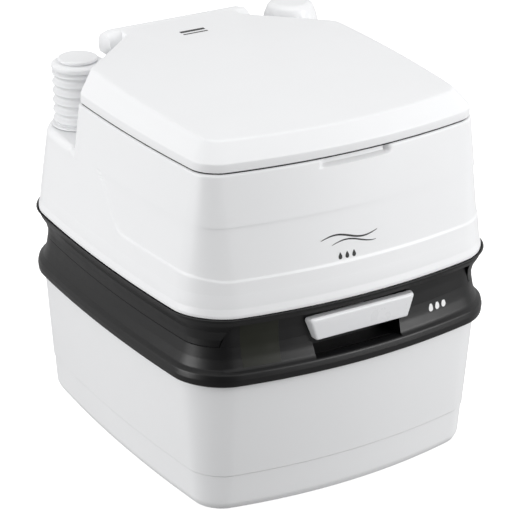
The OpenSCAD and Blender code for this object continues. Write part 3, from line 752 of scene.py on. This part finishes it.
white_tank = keep(flush_tank(), "flush_section", "white_shell", "upper_tank")
# A black strip under the lid's rim, which the CAD leaves out: painted shade, standing in for the shadowed gap
# between the lid and the deck.
strip = [(2.6, DECK_Z - 0.6), (1.5, DECK_Z - 0.2), (1.4, DECK_Z + 0.9), (5, DECK_Z + 0.9),
         (6, DECK_Z - 0.6)]
strip = [ring3(np.minimum(lid_outline(k), [999, HINGE_Y - 16]), z) for k, z in strip]
keep(loft("lid_gap_shade_strip", strip, closed=True), "flush_section", "rubber_black")

# ---- level window, on the hollow front face ----


def level_lens(edge=0.5, lift=0.25, depth=3):
    """A plate that follows the hollow front face, lift proud of it, with rounded edges."""
    x0, x1 = WINDOW_X - WINDOW_HALF, WINDOW_X + WINDOW_HALF
    xs = np.array([x0, *np.linspace(x0 + edge, x1 - edge, 24), x1])
    zs = [WINDOW_LOW, *np.linspace(WINDOW_LOW + edge, WINDOW_TOP - edge, 18), WINDOW_TOP]
    front, back = [], []
    for i, z in enumerate(zs):
        path = front_line(panel_k(z))
        y = np.interp(xs, path[:, 0], path[:, 1]) - PANEL_PROUD
        out = np.full(len(xs), edge - lift)
        if 0 < i < len(zs) - 1:
            out[1:-1] -= edge
        front.append(ring3(np.column_stack([xs, y + out]), z))
        back.append(ring3(np.column_stack([xs, y + depth]), z))
    return plate("level_lens", front + back, len(zs))


keep(level_lens(), "waste_section", "window", "level_window")

# ---- valve handle ----

(_, HANDLE_Y, HANDLE_LOW), (_, _, HANDLE_TOP) = span("valve_handle")
HANDLE_FOOT, HANDLE_HEAD = 54.8, 61.2  # half its width, at its foot and at its head


def handle():
    """A trapezoid grip: a flat face, ends that swell as they run back, a hollow for the fingers."""
    rings = []
    for depth, inset in ((0, 2.4), (0.12, 1.5), (0.5, 0.7), (1.1, 0.2), (2, 0), (3.4, 0), (5, 0),
                         (6.8, 0), (8.5, 0.1), (8.9, 0.6)):
        flare = 4.3 * math.sqrt(depth / 8)
        low = HANDLE_LOW + 2.4 + inset * 0.7
        top = HANDLE_TOP - 1.8 + 1.8 * min(1, depth / 2) - inset * 0.7
        foot, head = HANDLE_FOOT + flare * 0.2 - inset, HANDLE_HEAD + flare - inset
        path = rounded([(-foot, low, 2.2, 40), (foot, low, 2.2, 6), (head, top, 2.6, 40),
                        (-head, top, 2.6, 6)], 6)
        rings.append(np.array([(x, HANDLE_Y + depth, z) for x, z in path[::-1]]))
    hollow = slab("cut", (-50, HANDLE_Y + 3.2, HANDLE_LOW - 4), (52, -190, 197), 1.5)
    return boolean(loft("handle_grip", rings), [hollow])


keep(handle(), "valve", "handle_white", "valve_handle")

# ---- bowl, deck block and filler neck ----


def bowl():
    """The bowl, as ovals of (height, half width, half length, middle)."""
    inner = [(374.5, 121.5, 129.5, -27), (374.7, 113, 121, -27), (374.2, 109, 117, -27),
             (371, 107.6, 115.6, -27), (361, 107, 115, -27), (348, 103.5, 112, -25),
             (335, 98, 107, -22), (312, 90, 98.5, -18), (290, 81, 89, -14), (264, 68, 73, -8),
             (246, 57, 59, -3), (238, 51, 52, -1), (231.5, 46, 46, 0), (228, 44.3, 44.3, 0),
             (218, 44, 44, 0), (209.6, 44, 44, 0)]
    outer = [(209.6, 46.9, 46.9, 0), (226, 46.9, 46.9, 0), (240, 55.8, 57, -2), (290, 84, 92, -14),
             (335, 101, 110, -22), (361, 110, 118, -27), (372.8, 110.8, 118.8, -27),
             (373.1, 121.5, 129.5, -27)]
    levels = np.array(inner, float)
    smooth = [catmull(levels, v) for v in np.linspace(0, len(inner) - 1, 64)]
    rings = [oval(a, b, cy, z) for z, a, b, cy in [*smooth, *outer]]
    return loft("bowl_liner", rings[::-1], closed=True)


def catmull(p, v):
    """A smooth curve through the rows of p, at row number v."""
    i = min(int(v), len(p) - 2)
    f = v - i
    a, b, c, d = p[max(i - 1, 0)], p[i], p[i + 1], p[min(i + 2, len(p) - 1)]
    bend = (2 * a - 5 * b + 4 * c - d) * f * f
    return 0.5 * (2 * b + (c - a) * f + bend + (3 * b - a - 3 * c + d) * f ** 3)


keep(bowl(), "flush_section", "white_shell", "bowl")
HINGE = (0, HINGE_Y, HINGE_Z)
head = [(0, -30), (11.9, -30), (12.4, -29.4), (12.4, 29.4), (11.9, 30), (0, 30)]
block = slab("hinge_block", (-30, HINGE_Y - 8, DECK_Z - 3), (30, HINGE_Y + 8, HINGE_Z), 0.8)
boolean(block, [turned("head", head, HINGE, "x")], "UNION")
keep(block, "flush_section", "white_shell")
neck = [(21, DECK_Z - 8), (21, 395.5), (21.5, 396), (23, 396), (23.4, 395.6)]
for turn in range(3):
    z = 392.4 - turn * 4
    neck += [(23.4, z), (23.9, z - 0.8), (23.9, z - 1.4), (23.4, z - 2.2)]
neck += [(23.4, DECK_Z + 3), (25.5, DECK_Z + 0.2), (25.5, DECK_Z - 8)]
neck = turned("filler_neck", neck[::-1], (*CAP[:2], 0), closed=True)
keep(neck, "flush_section", "white_shell")

# ---- pump ----

PUMP_AT = (*PUMP[:2], 0)
PUMP_TOP = span("pump_head")[1][2]
(left, _, BELLOWS_LO), (right, _, BELLOWS_HI) = span("pump_bellows")
BELLOWS_R = (right - left) / 2
LOBES, LOBE_DEPTH, BELLOWS_WALL, STROKE = 6, 3.6, 1.8, 30
socket = [(0, -3), (27.4, -3), (27.4, 0.9), (30.2, 0.9), (30.6, 1.3), (30.3, 2), (28.6, 2.7),
          (0, 2.7)]
socket = turned("pump_socket", [(r, SHELF_Z + z) for r, z in socket], PUMP_AT, steps=96)
keep(socket, "flush_section", "white_shell", "pump_collar")
lobes = []
for i in range(LOBES * 16 + 1):
    wave = 0.5 - 0.5 * math.cos(2 * math.pi * i / 16)
    lobes.append((BELLOWS_R - LOBE_DEPTH + LOBE_DEPTH * wave ** 1.25,
                  BELLOWS_LO + (BELLOWS_HI - BELLOWS_LO) * i / 16 / LOBES))
inside = [(r - BELLOWS_WALL, z) for r, z in lobes[::-1]]
bellows = turned("pump_bellows_rings", lobes + inside, PUMP_AT, closed=True, steps=96, sharp=70)
keep(bellows, "flush_section", "white_soft", "pump_bellows")
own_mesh(bellows)
button = [(0, 0.06, 0), (25, 0.06, 0), (25.4, -0.8, 0.3), (28, -0.8, 0.6),
          (BELLOWS_R + 0.4, 0.8, 1.5), (BELLOWS_R + 0.3, 4.4, 1.8), (24.6, 6.4, 3),
          (19.6, 6.9, 0.4)]
button = [(r, BELLOWS_HI + z, soft) for r, z, soft in button]
button += [(19.6, PUMP_TOP - 3.3, 0.3), (21.3, PUMP_TOP - 3, 0.4), (21.7, PUMP_TOP - 0.8, 0.9),
           (20.2, PUMP_TOP, 0.8), (17, PUMP_TOP - 0.2, 2), (0, PUMP_TOP - 0.7, 0)]
button = turned("pump_button", profile(button), PUMP_AT, steps=96)
keep(button, "pump_head", "white_shell", "pump_head")

# ---- filler cap ----


def groove(angle, count, sharp, soft):
    """How deep a fluted wall is at an angle: 0 between the flutes, 1 in the middle of one."""
    return max(0, 1 - abs((angle * count / (2 * math.pi)) % 1 - 0.5) * sharp) ** soft


def cap_flutes(angle, height):
    if height > 405:
        return 0
    return 1.5 * min(1, (405.5 - height) / 9) * groove(angle, 16, 4.2, 0.7)


cap_side = profile([(24.4, 397.5, 0), (24.4, 380, 0), (30.4, 380, 0.6), (31, 381, 0.8),
                    (31, 392, 6), (29.4, 400, 6), (25.2, 411.4, 6), (19, CAP_TOP, 5),
                    (0, CAP_TOP - 0.3, 0)], 6)
dense = [cap_side[0]]
for p in cap_side[1:]:
    start = dense[-1]
    pieces = max(1, int(np.linalg.norm(p - start) / 2.5))
    dense += [start + (p - start) * (j + 1) / pieces for j in range(pieces)]
dense = [p for i, p in enumerate(dense) if i == 0 or np.linalg.norm(p - dense[i - 1]) > 0.01]
cap = turned("filler_cap", [tuple(p) for p in dense if p[0] > 0.5], (*CAP[:2], 0), steps=256,
             flute=cap_flutes)
keep(cap, "fill_cap", "white_shell", "fill_cap")

# ---- lid and seat ----

LID_FRONT, LID_REAR, LID_RIM = 402, span("lid")[1][2], 381
LID_CREASE_Y = 160  # how far in front of the middle the lid's top stands at LID_FRONT


def lid_top(y):
    return LID_FRONT + (LID_REAR - LID_FRONT) * (y + LID_CREASE_Y) / (HINGE_Y + LID_CREASE_Y)


def lid_ring(k, share, drop=0):
    """The lid's outline k inside its rim, share of the way from the rim's top to the lid's top."""
    p = lid_outline(k)
    p[:, 1] = np.minimum(p[:, 1], HINGE_Y)
    return ring3(p, LID_RIM + (lid_top(p[:, 1]) - LID_RIM) * share - drop)


def lid():
    """One closed sheet: the inside from its middle out to the rim, then the outside back."""
    bevel = profile([(0, 0, 0), (0.15, 2.5, 2.5), (15, 19.6, 6), (24, 20, 0)], 9)
    rim = [(4, 381, HINGE_Y - 2), (3.6, 376, HINGE_Y - 2), (3.2, 375, HINGE_Y),
           (2.4, 374.7, HINGE_Y), (0.8, 374.5, HINGE_Y), (0.1, 375.1, HINGE_Y), (0, 378, HINGE_Y)]
    rings = [lid_ring(k, share, drop=3) for k, share in ((23, 0.98), (17.5, 0.92))]
    rings += [ring3(np.minimum(lid_outline(k), [999, rear]), z) for k, z, rear in rim]
    rings += [lid_ring(k, up / 20) for k, up in bevel]
    return loft("lid_shell", rings)


cover = lid()
rod = [(0, -88.8), (13.4, -88.8), (14.2, -88.4), (16.1, -81), (16.5, -79.5)]
rod += [(r, -x) for r, x in rod[::-1]]
boolean(cover, [turned("barrel", rod, HINGE, "x", steps=96)], "UNION")
boolean(cover, [cut_slab((-200, HINGE_Y - 14, 360), (200, 240, HINGE_Z - 9.1)),
                cut_slab((-31.5, HINGE_Y + 8.5, 360), (31.5, 240, HINGE_Z + 11))], sharp=38)
boolean(cover, [cut_turned([(13, -31.5), (13, 31.5)], HINGE, "x"),
                cut_slab((-53.5, HINGE_Y - 14, 380), (53.5, HINGE_Y + 8, 405))], sharp=38)
keep(cover, "lid", "white_shell", "lid")


def seat():
    side = profile([(14, 377, 0), (12.2, 377, 1), (12, 384.5, 2), (15, 389.4, 3), (22, 391.9, 5),
                    (31, 391.9, 0)], 6)
    rings = [ring3(seat_outline(k), z) for k, z in side]
    top = rings[-1]
    hole = [(112, 391.9), (109.5, 391.4), (106.5, 389.6), (104.6, 386.5), (103.6, 382),
            (103.8, 377.6), (104.5, 377), (106.5, 377), (107.5, 378), (107.5, 388)]
    rings += [oval_at(top, a, a + MOUTH_B - MOUTH_A, z) for a, z in hole]
    rings += [ring3(seat_outline(k), z) for k, z in ((26, 388.5), (18, 384), (17, 378))]
    return loft("seat_ring", rings, closed=True)


ring_seat = seat()
for x0, x1 in ((36, 50), (-50, -36)):
    knuckle = [(0, x0), (9.5, x0), (10, x0 + 0.5), (10, x1 - 0.5), (9.5, x1), (0, x1)]
    boolean(ring_seat, [turned("knuckle", knuckle, HINGE, "x"),
                        slab("web", (x0, 141, 378), (x1, HINGE_Y - 4, HINGE_Z), 0.6)], "UNION")
keep(ring_seat, "seat", "white_shell", "seat")

# ---- valve, spout, vent, latch and small pieces ----


def round_piece(name, points, centre, body, slot, *nodes, base=0, axis="z", **more):
    """A turned piece kept on its body; base is added to the heights."""
    points = [(r, base + z) for r, z in points]
    return keep(turned(name, points, centre, axis, **more), body, slot, *nodes)


def coil(name, centre, r, wire, length, turn):
    """A coil spring of five turns standing on centre, its axis turned from +Z by turn."""
    t = np.linspace(0, 1, 100)
    angle = 2 * math.pi * 5 * t
    rise = wire + (length - 2 * wire) * t
    ob = tube(name, np.column_stack([r * np.cos(angle), r * np.sin(angle), rise]), wire, 8)
    place(ob, centre, turn)
    return ob


ORIGIN = (0, 0, 0)
cover_lo, cover_hi = span("valve_cover")
COVER_Z = cover_hi[2]
valve_top = slab("valve_cover_plate", cover_lo, cover_hi, 1)
boolean(valve_top, [cut_turned([(VALVE_HOLE_R, COVER_Z - 9), (VALVE_HOLE_R, COVER_Z + 3)], ORIGIN),
                    cut_turned([(52, COVER_Z - 1.5), (52, COVER_Z + 3)], ORIGIN)])
keep(valve_top, "waste_section", "valve_grey", "valve_cover")
lip = [(44.8, 0.4), (47.5, -1.5), (52, -1.5), (52, 0.2), (50.6, 0.9), (48.6, 1.2), (46.6, 1.9),
       (45.2, 1.8), (44.5, 1.2)]
round_piece("valve_seal", lip, ORIGIN, "waste_section", "rubber_black", "valve_lip_seal",
            base=COVER_Z, closed=True, steps=96)
head = [(0, -1), (1.5, -1), (1.5, 0), (3, 0), (2.95, 0.9), (2.3, 1.6), (1.2, 1.8), (0, 1.8)]
for i, (x, y) in enumerate([(x, y) for x in (-57.5, 57.5) for y in (-150, -45, 52)]):
    screw = turned(f"cover_screw_{i}", [(r, COVER_Z + z) for r, z in head], (x, y, 0), steps=24)
    boolean(screw, [cut_slab((x - a, y - b, COVER_Z + 0.9), (x + a, y + b, COVER_Z + 3))
                    for a, b in ((1.7, 0.35), (0.35, 1.7))])
    keep(screw, "waste_section", "steel", *(["valve_screws"] if i == 0 else []))

spout_lo, spout_hi = span("pour_spout")
SWIVEL = np.array(joint["spout_swivel"]["pos_m"]) / MM
SPOUT_Z, SPOUT_END = spout_hi[2] - 15, spout_lo[0]
reach = SWIVEL[0] - SPOUT_END
foot = spout_lo[2]
post, bend = (*SWIVEL[:2], 0), (*SWIVEL[:2], SPOUT_Z)
elbow = turned("spout_elbow", profile([
    (0, foot, 0), (11.8, foot, 0.4), (11.8, foot + 5.4, 0), (17, foot + 5.4, 0.8),
    (17, SPOUT_Z + 5, 8), (11, spout_hi[2], 7), (0, spout_hi[2], 0)]), post)
arm = [(0, 0), (14.2, 0), (15, 0.8), (15, 13), (16.3, 13.4), (16.3, 15.4), (15, 15.8)]
arm = [(r, x - reach) for r, x in arm] + [(15, -4), (13, 3), (0, 4)]
boolean(elbow, [turned("arm", arm, bend, "x")], "UNION")
boolean(elbow, [cut_turned([(12, -reach - 1), (12, -2), (8, 6)], bend, "x"),
                cut_turned([(9, foot - 1), (9, SPOUT_Z - 2)], post)])
keep(elbow, "spout", "dark_shell", "pour_spout")
cup = [(0, 2), (15.4, 2), (15.4, -12), (16.9, -12), (17.4, -11.4), (17.4, 3.2), (17, 4.4),
       (15.8, 5), (13, 5), (12.4, 4.3), (0, 4.3)]
round_piece("spout_cap_cup", cup, (SPOUT_END, SWIVEL[1], SPOUT_Z), "spout_cap", "cap_grey",
            "spout_cap", axis="-x", steps=192,
            flute=lambda a, h: 0.9 * groove(a, 12, 4, 0.6) if -11 < h < 3.4 else 0)

lo, hi = span("vent_button")
VENT_X, VENT_Y, _ = (lo + hi) / 2
VENT_TOP, stem = hi[2], lo[2] - hi[2]
knob = [(0, stem), (2.5, stem), (2.5, -2.4), (7.6, -2.4), (8, -2), (8, -0.7), (7.4, -0.05),
        (6.6, -0.2), (5, -0.9), (0, -1.2)]
round_piece("vent_knob", knob, (VENT_X, VENT_Y, 0), "vent", "vent_green", "vent_button",
            base=VENT_TOP, steps=48)
lo, hi = span("vent_spring")
spring = coil("vent_spring_coil", (VENT_X, VENT_Y, lo[2]), 4.9, 0.5, hi[2] - lo[2], Matrix())
keep(spring, "waste_section", "steel", "vent_spring")
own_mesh(spring)

latch_lo, latch_hi = span("tank_latch")
LATCH_Y, LATCH_Z = 196, 180
x0, x1 = latch_lo[0], latch_hi[0]
latch = slab("latch_lever", (x0, LATCH_Y - 1, LATCH_Z), (x1, LATCH_Y + 3.5, latch_hi[2]), 1.2)
ledge = slab("ledge", (x0, LATCH_Y, 196), (x1, latch_hi[1], 200), 1.2)
pivot = [(0, x0), (4.2, x0), (4.5, x0 + 0.4), (4.5, x1 - 0.4), (4.2, x1), (0, x1)]
pivot = turned("pivot", pivot, (0, LATCH_Y, LATCH_Z), "x")
ribs = [slab("rib", (x0 + 4, 198.8, z), (x1 - 4, 200.3, z + 1.2), 0.4) for z in (203, 206, 209)]
boolean(latch, [ledge, pivot, *ribs], "UNION")
keep(latch, "latch", "dark_shell", "tank_latch")
lo, hi = span("latch_spring")
x, _, z = (lo + hi) / 2
spring = coil("latch_spring_coil", (x, lo[1], z), 2.5, 0.4, hi[1] - lo[1],
              Matrix.Rotation(-math.pi / 2, 4, "X"))
keep(spring, "waste_section", "steel", "latch_spring")
lo, hi = span("flush_nozzle")
x, _, z = (lo + hi) / 2
depth = hi[1] - lo[1]
nozzle = [(0, 0), (7.8, 0), (9, 1), (9, 5.5), (8.5, 6), (5.9, 6), (5.9, depth), (0, depth)]
round_piece("rinse_nozzle", nozzle, (x, 0, z), "flush_section", "white_shell", "flush_nozzle",
            base=lo[1], axis="y")
for node, body, r, places in (
        ("tank_feet", "waste_section", 12, [(x, y) for x in (-120, 120) for y in (-145, 145)]),
        ("seat_bumpers", "seat", 7, [(x, y) for x in (-134, 134) for y in (-110, 46)]),
        ("lid_bumpers", "lid", 6, [(x, -125) for x in (-112, 112)])):
    low = span(node)[0][2]
    height = span(node)[1][2] - low
    pad = [(0, 0), (r - 1, 0), (r - 0.2, 0.4), (r, 1), (r, height), (0, height)]
    for i, (x, y) in enumerate(places):
        round_piece(f"{node}_pad_{i}", pad, (x, y, 0), body, "rubber_black",
                    *([node] if i == 0 else []), base=low, steps=36)

# ---- marks: generic, in place of lettering ----

white_tree = BVHTree.FromPolygons([v.co for v in white_tank.data.vertices],
                                  [p.vertices for p in white_tank.data.polygons])


def front_y(x, z):
    """How far forward the tank's front stands at x and z."""
    return white_tree.ray_cast(Vector((x, 2 * FRONT, z)) * MM, Vector((0, 1, 0)))[0].y / MM


def stroke(name, line, width, surface, lift=0.12):
    """A flat printed line along (a, b) points on a surface; width may be a list."""
    line = np.array(line, float)
    side = leftward(line) * np.broadcast_to(width, len(line))[:, None] / 2
    points = [surface(a, b, lift) for a, b in [*(line + side), *(line - side)]]
    n = len(line)
    faces = [(i, i + 1, n + i + 1, n + i) for i in range(n - 1)]
    return mesh(name, points, faces)


def drop(name, a, b, size, surface, lift=0.12):
    """A printed drop: a round foot drawn up to a point."""
    t = np.linspace(0, 2 * math.pi, 28, endpoint=False)
    across = [size * 0.5 * math.sin(u) * math.sin(u / 2) ** 1.3 for u in t]
    points = [surface(a + w, b + size * 0.62 * math.cos(u), lift) for w, u in zip(across, t)]
    points.append(surface(a, b - size * 0.1, lift))
    return mesh(name, points, [(i, (i + 1) % len(t), len(t)) for i in range(len(t))])


def on_wall(x, z, lift):
    return x, front_y(x, z) - lift, z


def on_band(x, z, lift):
    edge = front_strip(panel_k(z), z, abs(x) + 1, 3)[2 if x > 0 else 0]
    return x, edge[1] - PANEL_PROUD - lift, z


def on_lid(x, y, lift):
    return x, y, lid_top(y) + lift


for i, (z, width, x0, x1) in enumerate(((291, 2.0, -46, 20), (284.5, 1.6, -34, 18))):
    xs = np.linspace(x0, x1, 60)
    line = [(x, z + 3.4 * math.sin((x - x0) / 10.5)) for x in xs]
    taper = width * np.sin(np.linspace(0.12, math.pi - 0.12, 60)) ** 0.6
    wave = stroke(f"mark_wave_{i}", line, taper, on_wall)
    keep(wave, "flush_section", "white_shell", material=BLACK_PRINT)
for i, x in enumerate((-25, -17, -9)):
    piece = drop(f"mark_drop_{i}", x, 272.5, 6, on_wall)
    keep(piece, "flush_section", "white_shell", material=BLACK_PRINT)
for i, x in enumerate((92, 101, 110)):
    piece = drop(f"mark_fill_{i}", x, 186, 8, on_band, 0.3)
    keep(piece, "waste_section", "dark_shell", material=WHITE_PRINT)
for i, (y, width) in enumerate(((126, 5.0), (118.5, 2.4))):
    bar = stroke(f"mark_lid_{i}", [(x, y) for x in np.linspace(-19, 11, 12)], width, on_lid)
    keep(bar, "lid", "white_shell", material=BLACK_PRINT)

# ---- stage ----


def studio():
    """An even pale sky, dimmer toward the camera, over a white floor, with three soft lamps."""
    world = bpy.data.worlds.new("studio")
    bpy.context.scene.world = world
    world.use_nodes = True
    nodes, links = world.node_tree.nodes, world.node_tree.links
    coords = nodes.new("ShaderNodeTexCoord")
    parts = nodes.new("ShaderNodeSeparateXYZ")
    links.new(coords.outputs["Generated"], parts.inputs[0])
    toward = nodes.new("ShaderNodeVectorMath")
    toward.operation = "DOT_PRODUCT"
    toward.inputs[1].default_value = (-0.52, -0.85, -0.1)
    links.new(coords.outputs["Generated"], toward.inputs[0])
    product = nodes.new("ShaderNodeMath")
    product.operation = "MULTIPLY"
    height = new_node(nodes, "MapRange", From_Min=-0.6, From_Max=0.7, To_Min=0.43, To_Max=0.8)
    dim = new_node(nodes, "MapRange", From_Min=0.5, From_Max=0.97, To_Min=1.0, To_Max=0.12)
    dim.interpolation_type = "SMOOTHSTEP"
    links.new(parts.outputs["Z"], height.inputs["Value"])
    links.new(toward.outputs["Value"], dim.inputs["Value"])
    links.new(height.outputs[0], product.inputs[0])
    links.new(dim.outputs[0], product.inputs[1])
    links.new(product.outputs[0], nodes["Background"].inputs["Strength"])
    nodes["Background"].inputs["Color"].default_value = (1, 1, 1, 1)
    corners = [(-4000, -4000, 0), (4000, -4000, 0), (4000, 4000, 0), (-4000, 4000, 0)]
    floor = mesh("floor", corners, [(0, 1, 2, 3)])
    pale = plastic("pale_floor", (0.55, 0.55, 0.55), 0.6, tint=0.005)
    shader = pale.node_tree.nodes["Principled BSDF"]
    shader.inputs["Emission Color"].default_value = (1, 1, 1, 1)
    shader.inputs["Emission Strength"].default_value = 0.8
    floor.data.materials.append(pale)
    floor.visible_diffuse = False
    floor.visible_glossy = False
    for name, at, size, power in (("key_left", (-2.15, 0.2, 0.55), 1.5, 28),
                                  ("key_right", (1.2, -1.8, 0.85), 1.5, 31),
                                  ("top", (0.1, 0.4, 2.6), 2.0, 11)):
        light = bpy.data.lights.new(name, "AREA")
        light.shape = "DISK"
        light.size = size
        light.energy = power
        ob = add(name, light)
        ob.location = at
        aim = Vector((0, 0, 0.22)) - Vector(at)
        ob.rotation_euler = aim.to_track_quat("-Z", "Y").to_euler()


def camera():
    cam = bpy.data.cameras.new("camera")
    ob = add("camera", cam)
    azimuth, height, distance = math.radians(-31.3), math.radians(23.82), 2.501
    aim = Vector((-0.0018, -0.003, 0.1918))
    level = math.cos(height)
    away = Vector((math.sin(azimuth) * level, -math.cos(azimuth) * level, math.sin(height)))
    ob.location = aim + away * distance
    ob.rotation_euler = away.to_track_quat("Z", "Y").to_euler()
    cam.sensor_width = 36
    cam.lens = 163.4
    bpy.context.scene.camera = ob


studio()
camera()
bpy.context.scene.view_settings.view_transform = "Standard"
